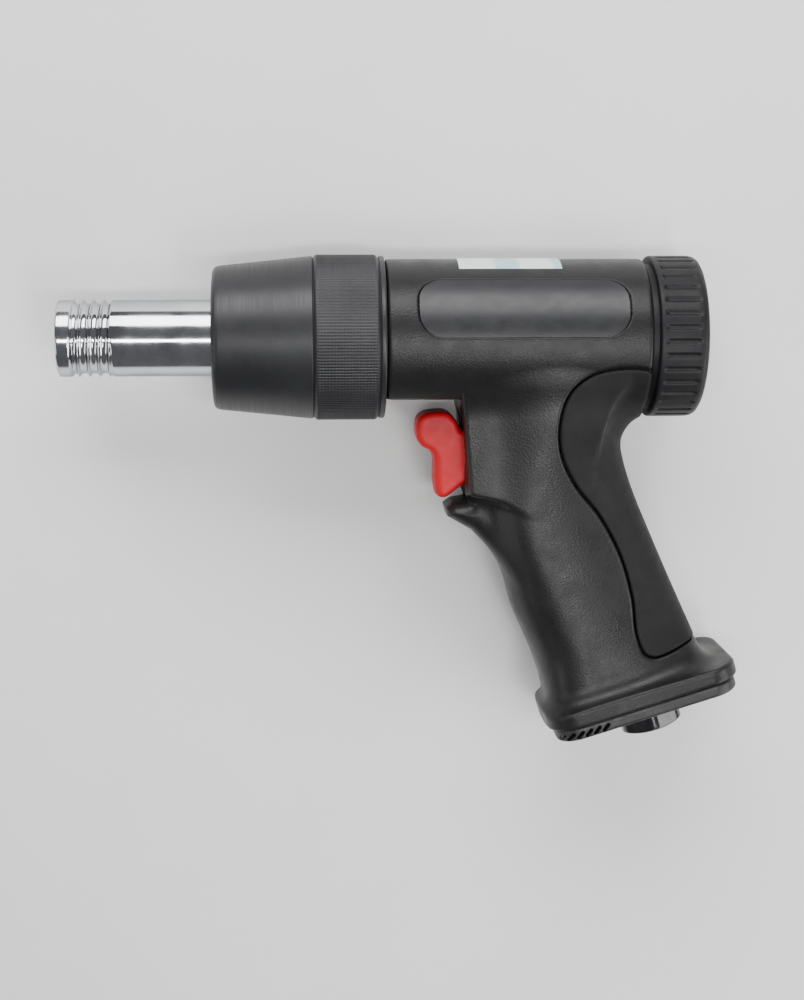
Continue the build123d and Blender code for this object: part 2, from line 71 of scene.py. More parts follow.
HOUSING_LOW, HOUSING_HIGH = span("housing")
COLLAR_LOW, COLLAR_HIGH = span("front_collar")
CAP_BACK_X = span("rear_cap")[1][0]

HOUSING_R = HOUSING_HIGH[1]
HOUSING_FRONT = COLLAR_HIGH[0] + 0.2
HOUSING_BACK = 194.5
NOSE_X, NOSE_R = HOUSING_LOW[0], 21.95
BORE_R, CAP_BORE_R, CAP_BORE_X = 17.5, 21.0, 185.0
UNDERSIDE_FLAT_Y, UNDERSIDE_FLAT_X = -19.5, 132.6
BLOCK_FRONT_X, BLOCK_FRONT_Y = 132.6, -16.0      # where the block's front face starts to lean
BLOCK_FOOT_X, BLOCK_FOOT_Y = 135.4, -51.8        # its lower end, above the nose
REAR_CAP_ROOM_R = 28.2

TILT = math.radians(17.0)
FOOT_X, FOOT_Y = 197.7, -122.8
FLANGE_U, FLANGE_HALF_Z, FLANGE_CORNER, FLANGE_THICK = (-35.4, 31.7), 22.6, 10.0, 5.4
CAP_THICK, CAP_INSET = 4.6, 1.4
GRIP_TOP_W, GRIP_POWER, GRIP_FOOT_POWER = 119.0, 2.25, 0.7
THROTTLE_Y = -38.0
SLOT_X, SLOT_Y, SLOT_HALF = 138.3, -39.5, (7.1, 15.2, 7.9)
SCREW_U, SCREW_Z = 17.0, 9.5
VENTS, VENT_PITCH, VENT_U, VENT_W, VENT_LEAN = 6, 3.0, -32.4, -2.9, math.radians(37.0)
VENT_HALF, VENT_DEEPEST_Z = (1.7, 0.57), 16.5
PAD_DEPTH, PAD_SKIN = 3.0, 1.2
PANEL_X, PANEL_HALF, PANEL_TILT, PANEL_DEPTH = (118.0, 187.0), 10.5, math.radians(26.4), 0.8


# ---------------------------------------------------------------- distance functions

def smin(a, b, k):
    """The lower of two distances, with their meeting rounded over a width of about k."""
    h = np.maximum(k - np.abs(a - b), 0.0) / k
    return np.minimum(a, b) - h * h * k * 0.25


def smax(a, b, k):
    return -smin(-a, -b, k)


def ease(t):
    """0 to 1 with soft ends."""
    t = np.clip(t, 0, 1)
    return t * t * (3 - 2 * t)


def box2(p, q, half_p, half_q, r):
    """Distance to a rounded rectangle."""
    a, b = np.abs(p) - half_p + r, np.abs(q) - half_q + r
    outside = np.hypot(np.maximum(a, 0), np.maximum(b, 0))
    return outside + np.minimum(np.maximum(a, b), 0) - r


def polygon(px, py, points):
    """Signed distance in the plane to a closed polygon, negative inside."""
    best = np.full(np.broadcast(px, py).shape, 1e9)
    inside = np.zeros(best.shape, bool)
    for (ax, ay), (bx, by) in zip(points, points[1:] + points[:1]):
        ex, ey = bx - ax, by - ay
        wx, wy = px - ax, py - ay
        t = np.clip((wx * ex + wy * ey) / (ex * ex + ey * ey), 0, 1)
        best = np.minimum(best, (wx - ex * t) ** 2 + (wy - ey * t) ** 2)
        if by != ay:
            crosses = ((ay > py) != (by > py)) & (px < ex * (py - ay) / ey + ax)
            inside ^= crosses
    return np.sqrt(best) * np.where(inside, -1.0, 1.0)


def rounded_loop(points, steps=6):
    """A closed smooth line through the points, with calmer tangents beside short spans."""
    pts = [Vector(p) for p in points]
    out = []
    for i in range(len(pts)):
        p0, p1, p2, p3 = (pts[(i + j) % len(pts)] for j in (-1, 0, 1, 2))
        m1 = (p2 - p0) * 0.5 * min(1.0, 2 * (p2 - p1).length / max((p2 - p0).length, 1e-6))
        m2 = (p3 - p1) * 0.5 * min(1.0, 2 * (p2 - p1).length / max((p3 - p1).length, 1e-6))
        for s in range(steps):
            t = s / steps
            a, b = 2 * t**3 - 3 * t**2 + 1, t**3 - 2 * t**2 + t
            c, d = 3 * t**2 - 2 * t**3, t**3 - t**2
            p = a * p1 + b * m1 + c * p2 + d * m2
            out.append((p.x, p.y))
    return out


SOFTENING = 320     # passes that even out a curve over about 4 mm


def smooth_curve(knots):
    """A function of one variable, smooth and close to its (place, value) knots."""
    x = np.array([k[0] for k in knots], float)
    v = np.array([k[1] for k in knots], float)
    slope = np.gradient(v, x)
    fine = np.linspace(x[0], x[-1], 400)
    i = np.clip(np.searchsorted(x, fine) - 1, 0, len(x) - 2)
    step = x[i + 1] - x[i]
    t = (fine - x[i]) / step
    h00, h10 = 2 * t**3 - 3 * t**2 + 1, t**3 - 2 * t**2 + t
    h01, h11 = 3 * t**2 - 2 * t**3, t**3 - t**2
    table = h00 * v[i] + h10 * step * slope[i] + h01 * v[i + 1] + h11 * step * slope[i + 1]
    for _ in range(SOFTENING):
        table[1:-1] += (table[:-2] - 2 * table[1:-1] + table[2:]) / 4
    return lambda q: np.interp(q, fine, table)


def handle_uw(x, y):
    """u to the back across the handle and w up its axis, from the flange's bottom plane."""
    dx, dy = x - FOOT_X, y - FOOT_Y
    return (dx * math.cos(TILT) + dy * math.sin(TILT),
            dy * math.cos(TILT) - dx * math.sin(TILT))


GRIP_FRONT = smooth_curve([(-6, -33.4), (9, -33.0), (22, -32.8), (33, -34.0), (42, -35.3),
                           (54, -34.7), (68, -35.4), (80, -34.2), (96, -29.0), (120, -25.0)])
GRIP_BACK = smooth_curve([(-6, 23.8), (9, 23.2), (22, 21.6), (40, 19.2), (55, 17.4), (70, 15.8),
                          (84, 15.8), (96, 18.0), (120, 25.0)])
GRIP_CREST = smooth_curve([(-6, -14), (12, -15), (40, -18), (72, -20), (90, -12), (104, -2),
                           (120, 2)])
GRIP_HALF = smooth_curve([(-6, 18.4), (12, 18.0), (30, 17.5), (48, 17.9), (70, 18.6), (90, 19.8),
                          (104, 21.4), (120, 22.4)])


def grip(x, y, z):
    """The grip: an egg-shaped section whose fullest place moves along the handle."""
    u, w = handle_uw(x, y)
    front, back, crest, half = GRIP_FRONT(w), GRIP_BACK(w), GRIP_CREST(w), GRIP_HALF(w)
    side = np.where(u < crest, crest - front, back - crest)
    power = GRIP_POWER + GRIP_FOOT_POWER * ease((24.0 - w) / 18.0)
    a, c = np.abs(z) / half, np.abs(u - crest) / side
    f = np.maximum((a**power + c**power) ** (1 / power), 1e-4)
    steep = np.hypot(a ** (power - 1) / half, c ** (power - 1) / side) / f ** (power - 1)
    d = (f - 1) / np.maximum(steep, 1e-3)
    return smax(d, w - GRIP_TOP_W, 1.0)


BLOCK_SIDE = [(BLOCK_FRONT_X, -6), (BLOCK_FRONT_X, BLOCK_FRONT_Y), (BLOCK_FOOT_X, BLOCK_FOOT_Y),
              (152, -55.2), (170, -59), (178, -36), (186, -6)]
NOSE_SIDE = [(136.0, -44), (135.4, -54.6), (130.8, -55.4), (128.3, -57.2), (128.9, -60.0),
             (137.0, -64.6), (145.0, -73.0), (152, -80), (164, -72), (160, -50)]


def block(x, y, z):
    """The trigger block; its sides run back into the grip and sink below its skin."""
    half = smin(16.8 + (x - BLOCK_FRONT_X) * 0.115, 20.8, 3.0)
    sunk = 0.24 * smax(x - 144.0, 0.0, 6.0) * ease((-26.0 - y) / 26.0)
    return smax(polygon(x, y, BLOCK_SIDE), np.abs(z) - half + sunk, 1.8)


def nose(x, y, z):
    """The horn of the casting under the trigger."""
    return smax(polygon(x, y, NOSE_SIDE), np.abs(z) - 12.6, 7.0)


def foot_outline(u, z, inset):
    """Distance in the flange's plane to its rounded outline, set in by that much."""
    middle, half = sum(FLANGE_U) / 2, (FLANGE_U[1] - FLANGE_U[0]) / 2
    return box2(u - middle, z, half - inset, FLANGE_HALF_Z - inset, FLANGE_CORNER - inset)


def flange(x, y, z):
    u, w = handle_uw(x, y)
    thick = np.abs(w - FLANGE_THICK / 2) - FLANGE_THICK / 2
    return smax(foot_outline(u, z, 0.0), thick, 1.3)


def front_plane(x, y):
    """Distance ahead of the trigger block's front face."""
    lean = (BLOCK_FOOT_X - BLOCK_FRONT_X) / (BLOCK_FRONT_Y - BLOCK_FOOT_Y)
    return BLOCK_FRONT_X + np.maximum(BLOCK_FRONT_Y - y, 0) * lean - x


def outer_housing(x, y, z):
    """The casting's outside: cylinder, handle and flange, blended with concave fillets."""
    r = np.hypot(y, z)
    middle = (HOUSING_FRONT + HOUSING_BACK) / 2
    half = (HOUSING_BACK - HOUSING_FRONT) / 2
    cylinder = smax(r - HOUSING_R, np.abs(x - middle) - half, 1.6)
    under = np.maximum(y - UNDERSIDE_FLAT_Y, x - UNDERSIDE_FLAT_X)
    cylinder = smax(cylinder, -under, 0.9)
    u, w = handle_uw(x, y)
    foot = smax(smin(grip(x, y, z), flange(x, y, z), 7.0), -w, 0.6)
    body = smin(foot, block(x, y, z), 4.0)
    low = ease((-3.0 - y) / 13.0)
    web = 9.0 * ease((u - 4.0) / 16.0) * ease((18.0 - np.abs(z)) / 13.0)
    fillet = 0.6 + (5.4 + web) * low
    cap_room = np.maximum(HOUSING_BACK - x, r - REAR_CAP_ROOM_R)
    joined = smax(smin(cylinder, body, fillet), -cap_room, 0.8)
    casting = np.minimum(cylinder, smax(joined, front_plane(x, y), 1.2))
    casting = smin(casting, nose(x, y, z), 4.0)
    boss_back = HOUSING_FRONT + 0.2
    boss = np.maximum(r - NOSE_R, np.abs(x - (NOSE_X + boss_back) / 2) - (boss_back - NOSE_X) / 2)
    return np.minimum(casting, boss)


PAD_OUTLINE = rounded_loop([(194.8, -9.6), (178.4, -9.6), (168.6, -15.6), (164.6, -26.0),
                            (165.2, -37.6), (170.4, -48.4), (179.4, -59.6), (186.8, -73.4),
                            (191.0, -88.0), (192.2, -99.0), (195.0, -106.4), (199.8, -108.2),
                            (212.0, -104.2), (232.0, -97.0), (232.0, -60.0), (212.0, -20.0)])


def panel(x, y, z):
    """Distance to the side panels' rounded outline, measured on the cylinder's skin."""
    around = (np.arctan2(y, np.abs(z)) - PANEL_TILT) * HOUSING_R
    return box2(x - sum(PANEL_X) / 2, around, (PANEL_X[1] - PANEL_X[0]) / 2, PANEL_HALF, 8.4)


def pad_inner(x, y, z, outer):
    """Negative above the pad's inner face, which lies shallower over the cylinder."""
    return np.maximum(-(outer + PAD_DEPTH), HOUSING_R - PAD_SKIN - np.hypot(y, z))


def housing(x, y, z):
    """The casting with its panel recesses, pad pocket, bores, slot and air passages cut in."""
    outer = outer_housing(x, y, z)
    r = np.hypot(y, z)
    u, w = handle_uw(x, y)
    recess = np.maximum(panel(x, y, z), HOUSING_R - PANEL_DEPTH - r)
    d = smax(outer, -recess, 0.7)
    outline = polygon(x, y, PAD_OUTLINE)
    pocket = np.maximum(outline, pad_inner(x, y, z, outer))
    d = smax(d, -pocket, 1.1)
    bore = np.minimum(r - BORE_R, np.maximum(r - CAP_BORE_R, CAP_BORE_X - x))
    slot = box2(x - SLOT_X, y - SLOT_Y, SLOT_HALF[0], SLOT_HALF[1], 0.6)
    slot = np.maximum(slot, np.abs(z) - SLOT_HALF[2])
    off_throttle = np.hypot(y - THROTTLE_Y, z)
    throttle = np.maximum(off_throttle - 7.0, np.abs(x - 157.0) - 19.0)
    stem_end = np.maximum(off_throttle - 4.0, np.abs(x - 175.0) - 7.0)
    off_inlet = np.hypot(u, z)
    inlet = np.minimum(np.maximum(off_inlet - 9.5, w - 17.0), np.maximum(off_inlet - 5.5, w - 92.0))
    chamber = np.maximum(box2(u + 20, z, 8.0, 14.0, 6.0), w - 30.0)
    screws = np.maximum(np.hypot(u - SCREW_U, np.abs(z) - SCREW_Z) - 1.65, w - 9.0)
    for hole in (bore, slot, throttle, stem_end, inlet, chamber, screws):
        d = smax(d, -hole, 0.5)
    return d


def palm_pad(x, y, z):
    """The pad fills the pocket to just over the casting's skin, with a thin joint round it."""
    outer = outer_housing(x, y, z)
    outline = polygon(x, y, PAD_OUTLINE)
    skin = smax(outer - 0.12, outline + 0.5, 1.3)
    return np.maximum(skin, pad_inner(x, y, z, outer) + 0.05)


TRIGGER_SIDE = rounded_loop([(119.4, -26.6), (122.4, -24.95), (128.6, -24.8), (132.0, -27.6),
                             (134.0, -31.0), (139.4, -31.6), (139.9, -32.4), (139.9, -46.8),
                             (139.2, -47.9), (136.2, -48.3), (131.6, -51.2), (127.5, -53.7),
                             (125.2, -52.9), (124.3, -48.0), (124.2, -41.0), (123.0, -37.8),
                             (120.4, -36.2), (118.7, -33.6), (118.4, -29.6)], 5)


def trigger(x, y, z):
    """The finger piece, crowned on its lower front and bored for its stem and cross pin."""
    crown = 0.014 * z * z * ease((-35.0 - y) / 6.0) * ease((134.0 - x) / 6.0)
    d = polygon(x - crown, y, TRIGGER_SIDE)
    d = smax(d, np.abs(z) - 7.5, 2.4)
    stem = np.maximum(np.hypot(y - THROTTLE_Y, z) - 2.02, 132.0 - x)
    pin = np.maximum(np.hypot(x - 136.0, y - THROTTLE_Y) - 0.82, np.abs(z) - 7.32)
    return np.maximum(np.maximum(d, -stem), -pin)


def base_cap(x, y, z):
    """Exhaust cover, with slanted slots in its side walls; the first is a blind notch."""
    u, w = handle_uw(x, y)
    thick = np.abs(w + CAP_THICK / 2) - CAP_THICK / 2 + 0.02
    d = smax(foot_outline(u, z, CAP_INSET), thick, 1.4)
    room = np.maximum(box2(u + 19.0, z, 10.75, 18.0, 9.0), -3.0 - w)
    d = smax(d, -room, 0.3)
    d = smax(d, -(np.hypot(u, z) - 9.6), 0.4)
    d = smax(d, -(np.hypot(u - SCREW_U, np.abs(z) - SCREW_Z) - 2.2), 0.4)
    for vent in range(VENTS):
        du, dw = u - VENT_U - VENT_PITCH * vent, w - VENT_W
        along = du * math.cos(VENT_LEAN) + dw * math.sin(VENT_LEAN)
        across = dw * math.cos(VENT_LEAN) - du * math.sin(VENT_LEAN)
        opening = np.maximum(box2(along, across, *VENT_HALF, 0.5), VENT_DEEPEST_Z - np.abs(z))
        d = smax(d, -opening, 0.35)
    return d


def inlet_bushing(x, y, z):
    """Hexagon with turned corners, a chamfered mouth and a tapped bore."""
    u, w = handle_uw(x, y)
    face = -CAP_THICK - 1.02
    flats, corner, length = 10.5, 11.4, 7.4
    bore_r, plain_r, thread_depth, pitch, plain_from = 5.7, 4.6, 0.75, 1.411, 5.0
    au, az = np.abs(u), np.abs(z)
    hexagon = np.maximum(au, au * 0.5 + az * 0.866) - flats
    off = np.hypot(u, z)
    d = smax(smax(hexagon, off - corner, 0.5), np.abs(w - face + length / 2) - length / 2, 0.5)
    d = smax(d, (off - corner + 1.5 + (face - length - w) * 1.7) * 0.507, 0.4)
    shank = np.maximum(off - 9.48, np.abs(w - 4.7) - 10.3)
    d = np.minimum(d, shank)
    turn = np.arctan2(z, u) / (2 * math.pi)
    tooth = np.abs(((w / pitch + turn) % 1.0) - 0.5) * 2.0
    tapped = off - bore_r - thread_depth * tooth * np.clip((plain_from - w) / 2.0, 0, 1)
    mouth = (off - 7.1 + (w - face + length) * 0.9) * 0.74
    bore = np.minimum(np.minimum(tapped * 0.8, mouth), off - plain_r)
    bore = np.where(w > plain_from, off - plain_r, bore)
    return smax(d, -bore, 0.25)


# ---------------------------------------------------------------- meshing

def gradient(field, p, step=0.05):
    """The field's gradient at each point, by central differences."""
    grads = []
    for axis in range(3):
        forward, back = p.copy(), p.copy()
        forward[:, axis] += step
        back[:, axis] -= step
        grads.append((field(*forward.T) - field(*back.T)) / (2 * step))
    return np.stack(grads, 1)


def snap(field, p, rounds, reach):
    """Moves points onto the surface along the field's gradient."""
    for _ in range(rounds):
        g = gradient(field, p)
        g2 = np.maximum((g * g).sum(1), 0.05)
        move = -(field(*p.T) / g2)[:, None] * g
        size = np.linalg.norm(move, axis=1)
        move *= np.minimum(1.0, reach / np.maximum(size, 1e-9))[:, None]
        p = p + move
    return p


def surface_nets(field, low, high, cell):
    """A quad mesh of the field's zero surface on a regular grid."""
    axes = [np.arange(a - 1.5 * cell, b + 2.5 * cell, cell) for a, b in zip(low, high)]
    x, y, z = axes[0][:, None, None], axes[1][None, :, None], axes[2][None, None, :]
    values = np.broadcast_to(field(x, y, z), [len(a) for a in axes]).astype(np.float32)
    inside = values < 0
    count = np.zeros([n - 1 for n in inside.shape], np.int8)
    corners = [(i, j, k) for i in (0, 1) for j in (0, 1) for k in (0, 1)]

    def at(array, corner):
        i, j, k = corner
        n = array.shape
        return array[i:n[0] - 1 + i, j:n[1] - 1 + j, k:n[2] - 1 + k]

    for corner in corners:
        count += at(inside, corner)
    cells = np.argwhere((count > 0) & (count < 8))
    number = np.full(count.shape, -1, np.int32)
    number[tuple(cells.T)] = np.arange(len(cells))

    total = np.zeros((len(cells), 3))
    hits = np.zeros(len(cells))
    for a in corners:
        for b in corners:
            if sum(b) != sum(a) + 1 or any(q < p for p, q in zip(a, b)):
                continue
            va = values[tuple((cells + a).T)]
            vb = values[tuple((cells + b).T)]
            cut = (va < 0) != (vb < 0)
            t = np.where(cut, va / np.where(cut, va - vb, 1.0), 0.0)
            place = np.array(a) + t[:, None] * (np.array(b) - np.array(a))
            total += np.where(cut[:, None], place, 0.0)
            hits += cut
    points = (cells + total / hits[:, None]) * cell + np.array([a[0] for a in axes])

    quads = []
    for axis in range(3):
        other = [q for q in range(3) if q != axis]
        first = [slice(None)] * 3
        second = [slice(None)] * 3
        first[axis], second[axis] = slice(0, -1), slice(1, None)
        change = inside[tuple(first)] != inside[tuple(second)]
        where = np.argwhere(change)
        keep = (where[:, other[0]] > 0) & (where[:, other[1]] > 0)
        where = where[keep]
        flips = inside[tuple(first)][tuple(where.T)]
        ring = []
        for da, db in ((1, 1), (0, 1), (0, 0), (1, 0)):
            shift = np.zeros(3, int)
            shift[other[0]], shift[other[1]] = da, db
            ring.append(number[tuple((where - shift).T)])
        ring = np.stack(ring, 1)
        turn = flips if axis != 1 else ~flips
        ring[~turn] = ring[~turn][:, ::-1]
        quads.append(ring)
    return points, np.concatenate(quads)


def new_object(name, points, faces, material):
    """A mesh object from points in millimetres."""
    mesh = bpy.data.meshes.new(name)
    mesh.from_pydata((np.asarray(points) * MM).tolist(), [], [list(map(int, f)) for f in faces])
    mesh.polygons.foreach_set("use_smooth", [True] * len(mesh.polygons))
    mesh.update()
    mesh.validate()
    obj = bpy.data.objects.new(name, mesh)
    bpy.context.scene.collection.objects.link(obj)
    obj.data.materials.append(material)
    return obj


def dress(obj, body, slot, *nodes):
    """Rides the piece on its body and hides the CAD nodes it stands for; the slot argument is not
    used.
    """
    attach(obj, body)
    if nodes:
        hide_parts(*nodes)
    return obj


def thinned(obj, faces):
    """Collapses a dense mesh to about that many triangles."""
    count = sum(len(p.vertices) - 2 for p in obj.data.polygons)
    if count <= faces:
        return obj
    modifier = obj.modifiers.new("thin", "DECIMATE")
    modifier.ratio = faces / count
    depsgraph = bpy.context.evaluated_depsgraph_get()
    mesh = bpy.data.meshes.new_from_object(obj.evaluated_get(depsgraph))
    obj.modifiers.clear()
    old, obj.data = obj.data, mesh
    mesh.name = old.name
    bpy.data.meshes.remove(old)
    return obj


def sculpt(name, field, low, high, cell, material, faces=None):
    """Meshes a distance field, with its normals taken from the field itself."""
    points, quads = surface_nets(field, low, high, cell)
    points = snap(field, points, 2, cell * 0.6)
    obj = new_object(name, points, quads, material)
    if faces:
        thinned(obj, faces)
    mesh = obj.data
    co = np.empty(len(mesh.vertices) * 3, np.float32)
    mesh.vertices.foreach_get("co", co)
    p = snap(field, co.reshape(-1, 3).astype(float) / MM, 1, cell * 0.4)
    mesh.vertices.foreach_set("co", (p * MM).ravel().astype(np.float32))
    normals = gradient(field, p, cell * 0.25)
    normals /= np.maximum(np.linalg.norm(normals, axis=1), 1e-9)[:, None]
    mesh.polygons.foreach_set("use_smooth", [True] * len(mesh.polygons))
    mesh.update()
    mesh.normals_split_custom_set_from_vertices(normals.tolist())
    return obj


def supported(profile):
    """Adds a point close to each end of every long stretch, to keep its shading straight."""
    out = []
    for a, b in zip(profile, profile[1:] + profile[:1]):
        start, end = Vector(a), Vector(b)
        out.append(tuple(a))
        run = end - start
        if run.length > 1.0:
            out += [tuple(start + run.normalized() * 0.2), tuple(end - run.normalized() * 0.2)]
    return out


def lathe(name, profile, turns, material, shift=None):
    """Turns a closed (x, radius) outline about the barrel axis. shift adds to each radius."""
    ring = np.array(supported(profile), float)
    angle = np.arange(turns) * 2 * math.pi / turns
    x = np.repeat(ring[:, 0][None], turns, 0)
    r = np.repeat(ring[:, 1][None], turns, 0)
    if shift is not None:
        r = r + shift(x, angle[:, None], r)
    points = np.stack([x, r * np.sin(angle)[:, None], r * np.cos(angle)[:, None]], 2)
    n = len(ring)
    i, j = np.meshgrid(np.arange(turns), np.arange(n), indexing="ij")
    i2, j2 = (i + 1) % turns, (j + 1) % n
    quads = np.stack([i * n + j, i * n + j2, i2 * n + j2, i2 * n + j], 2).reshape(-1, 4)
    return new_object(name, points.reshape(-1, 3), quads, material)


def rounded_profile(corners):
    """A closed outline from (x, r, rounding) corners, each rounding a curve of four steps."""
    out = []
    pts = [Vector(c[:2]) for c in corners]
    for i, corner in enumerate(corners):
        before, here, after = pts[i - 1], pts[i], pts[(i + 1) % len(pts)]
        radius = corner[2]
        if radius <= 0:
            out.append(tuple(here))
            continue
        a, b = (before - here).normalized(), (after - here).normalized()
        half = math.acos(max(-1.0, min(1.0, a.dot(b)))) / 2
        cut = min(radius / math.tan(half), (before - here).length / 2, (after - here).length / 2)
        start, end = here + a * cut, here + b * cut
        for s in range(5):
            t = s / 4
            out.append(tuple((1 - t) ** 2 * start + 2 * t * (1 - t) * here + t * t * end))
    return out


def refined(profile, step, x_from, x_to):
    """Adds points to the outline's stretches between x_from and x_to."""
    out = []
    for (ax, ar), (bx, br) in zip(profile, profile[1:] + profile[:1]):
        out.append((ax, ar))
        if min(ax, bx) >= x_from - 1e-6 and max(ax, bx) <= x_to + 1e-6:
            pieces = max(1, round(math.hypot(bx - ax, br - ar) / step))
            out += [(ax + (bx - ax) * k / pieces, ar + (br - ar) * k / pieces)
                    for k in range(1, pieces)]
    return out


# ---------------------------------------------------------------- materials

class Shader:
    """A Principled material under construction, with short ways to add its nodes."""

    def __init__(self, name, color, roughness, metallic=0.0, **sockets):
        self.material = bpy.data.materials.new(name)
        self.material.use_nodes = True
        self.tree = self.material.node_tree
        self.main = self.tree.nodes["Principled BSDF"]
        self.main.inputs["Base Color"].default_value = (*color, 1)
        self.main.inputs["Roughness"].default_value = roughness
        self.main.inputs["Metallic"].default_value = metallic
        for key, value in sockets.items():
            self.main.inputs[key.replace("_", " ")].default_value = value
        self.coordinates = self.tree.nodes.new("ShaderNodeTexCoord").outputs["Object"]

    def node(self, kind, **settings):
        made = self.tree.nodes.new("ShaderNode" + kind)
        for key, value in settings.items():
            setattr(made, key, value)
        return made

    def link(self, out, into):
        self.tree.links.new(out, into)

    def stretched(self, x, y, z):
        mapping = self.node("Mapping")
        mapping.inputs["Scale"].default_value = (x, y, z)
        self.link(self.coordinates, mapping.inputs["Vector"])
        return mapping.outputs["Vector"]

    def noise(self, scale, detail=4.0, rough=0.55, vector=None):
        made = self.node("TexNoise")
        made.inputs["Scale"].default_value = scale
        made.inputs["Detail"].default_value = detail
        made.inputs["Roughness"].default_value = rough
        self.link(vector or self.coordinates, made.inputs["Vector"])
        return made.outputs["Fac"]

    def cells(self, scale):
        made = self.node("TexVoronoi")
        made.inputs["Scale"].default_value = scale
        self.link(self.coordinates, made.inputs["Vector"])
        return made.outputs["Distance"]

    def ramp(self, fac, low, high, from_low=0.35, from_high=0.65):
        made = self.node("MapRange")
        for key, value in zip(("From Min", "From Max", "To Min", "To Max"),
                              (from_low, from_high, low, high)):
            made.inputs[key].default_value = value
        self.link(fac, made.inputs["Value"])
        return made.outputs["Result"]

    def mix(self, fac, a, b):
        made = self.node("Mix", data_type="RGBA")
        self.link(fac, made.inputs["Factor"])
        for key, value in ((6, a), (7, b)):
            if isinstance(value, tuple):
                made.inputs[key].default_value = (*value, 1)
            else:
                self.link(value, made.inputs[key])
        return made.outputs[2]

    def tint(self, fac, a, b):
        self.link(self.mix(fac, a, b), self.main.inputs["Base Color"])

    def rough(self, fac):
        self.link(fac, self.main.inputs["Roughness"])

    def bump(self, *layers):
        """Stacks bumps: each layer is (height, strength, depth in metres)."""
        normal = None
        for height, strength, depth in layers:
            made = self.node("Bump")
            made.inputs["Strength"].default_value = strength
            made.inputs["Distance"].default_value = depth
            self.link(height, made.inputs["Height"])
            if normal is not None:
                self.link(normal, made.inputs["Normal"])
            normal = made.outputs["Normal"]
        self.link(normal, self.main.inputs["Normal"])


def cast_enamel():
    """Fine-grained satin black enamel on the casting."""
    s = Shader("cast_enamel", (0.009, 0.010, 0.009), 0.4, Specular_IOR_Level=0.27)
    grain = s.cells(1300.0)
    fine = s.noise(3400.0, 3.0)
    wide = s.noise(38.0, 5.0)
    s.tint(s.ramp(wide, 0.0, 1.0), (0.0080, 0.0086, 0.0080), (0.0096, 0.0102, 0.0096))
    s.rough(s.ramp(s.noise(160.0, 6.0), 0.35, 0.44))
    s.bump((grain, 0.5, 0.00008), (fine, 0.3, 0.00005))
    return s.material


def black_oxide():
    """Turned steel with a satin black finish."""
    s = Shader("black_oxide", (0.018, 0.018, 0.020), 0.4, 0.2, Specular_IOR_Level=0.4)
    lines = s.noise(1.0, 3.0, 0.6, s.stretched(5200.0, 30.0, 30.0))
    s.tint(s.ramp(s.noise(60.0, 5.0), 0.0, 1.0), (0.015, 0.015, 0.017), (0.022, 0.022, 0.024))
    s.rough(s.ramp(lines, 0.34, 0.48))
    s.bump((lines, 0.14, 0.00003), (s.noise(1900.0, 3.0), 0.28, 0.00005))
    return s.material


def cap_black():
    s = Shader("cap_black", (0.010, 0.010, 0.011), 0.46, Specular_IOR_Level=0.22)
    s.tint(s.ramp(s.noise(90.0, 5.0), 0.0, 1.0), (0.008, 0.008, 0.009), (0.012, 0.012, 0.013))
    s.rough(s.ramp(s.noise(300.0, 5.0), 0.44, 0.51))
    s.bump((s.cells(1500.0), 0.35, 0.00006), (s.noise(3600.0, 2.0), 0.2, 0.00004))
    return s.material


def chrome():
    s = Shader("chrome", (0.58, 0.59, 0.61), 0.11, 1.0, Specular_Tint=(0.55, 0.56, 0.58, 1))
    lines = s.noise(1.0, 4.0, 0.65, s.stretched(7000.0, 60.0, 60.0))
    smear = s.noise(70.0, 6.0, 0.6)
    s.tint(s.ramp(smear, 0.0, 1.0), (0.50, 0.51, 0.53), (0.66, 0.67, 0.69))
    s.rough(s.ramp(smear, 0.07, 0.17))
    s.bump((lines, 0.07, 0.00002))
    return s.material


def ground_steel(name="ground_steel", color=(0.50, 0.51, 0.53), roughness=(0.22, 0.36)):
    s = Shader(name, color, 0.3, 1.0)
    lines = s.noise(1.0, 4.0, 0.6, s.stretched(6000.0, 80.0, 80.0))
    darker = tuple(c * 0.75 for c in color)
    s.tint(s.ramp(s.noise(200.0, 4.0), 0.0, 1.0), darker, color)
    s.rough(s.ramp(lines, *roughness))
    s.bump((lines, 0.12, 0.00003))
    return s.material


def rubber(name="rubber", color=(0.007, 0.007, 0.0075), depth=0.00008):
    s = Shader(name, color, 0.6, Specular_IOR_Level=0.18)
    lighter = tuple(c * 1.35 for c in color)
    s.tint(s.ramp(s.noise(55.0, 6.0), 0.0, 1.0), color, lighter)
    s.rough(s.ramp(s.noise(240.0, 5.0), 0.54, 0.64))
    s.bump((s.cells(1100.0), 0.45, depth), (s.noise(3000.0, 3.0), 0.35, depth * 0.7))
    return s.material


def red_plastic():
    s = Shader("red_plastic", (0.46, 0.004, 0.010), 0.44, Specular_IOR_Level=0.2,
               Coat_Weight=0.03, Coat_Roughness=0.35)
    s.tint(s.ramp(s.noise(80.0, 5.0), 0.0, 1.0), (0.42, 0.004, 0.009), (0.50, 0.006, 0.013))
    s.rough(s.ramp(s.noise(500.0, 5.0), 0.40, 0.50))
    s.bump((s.noise(2400.0, 3.0), 0.14, 0.00004))
    return s.material


def moulded_black():
    s = Shader("moulded_black", (0.015, 0.015, 0.016), 0.45, Specular_IOR_Level=0.4)
    s.tint(s.ramp(s.noise(120.0, 5.0), 0.0, 1.0), (0.013, 0.013, 0.014), (0.021, 0.021, 0.022))
    s.rough(s.ramp(s.noise(350.0, 5.0), 0.38, 0.54))
    s.bump((s.cells(1500.0), 0.35, 0.00006), (s.noise(3600.0, 2.0), 0.2, 0.00004))
    return s.material


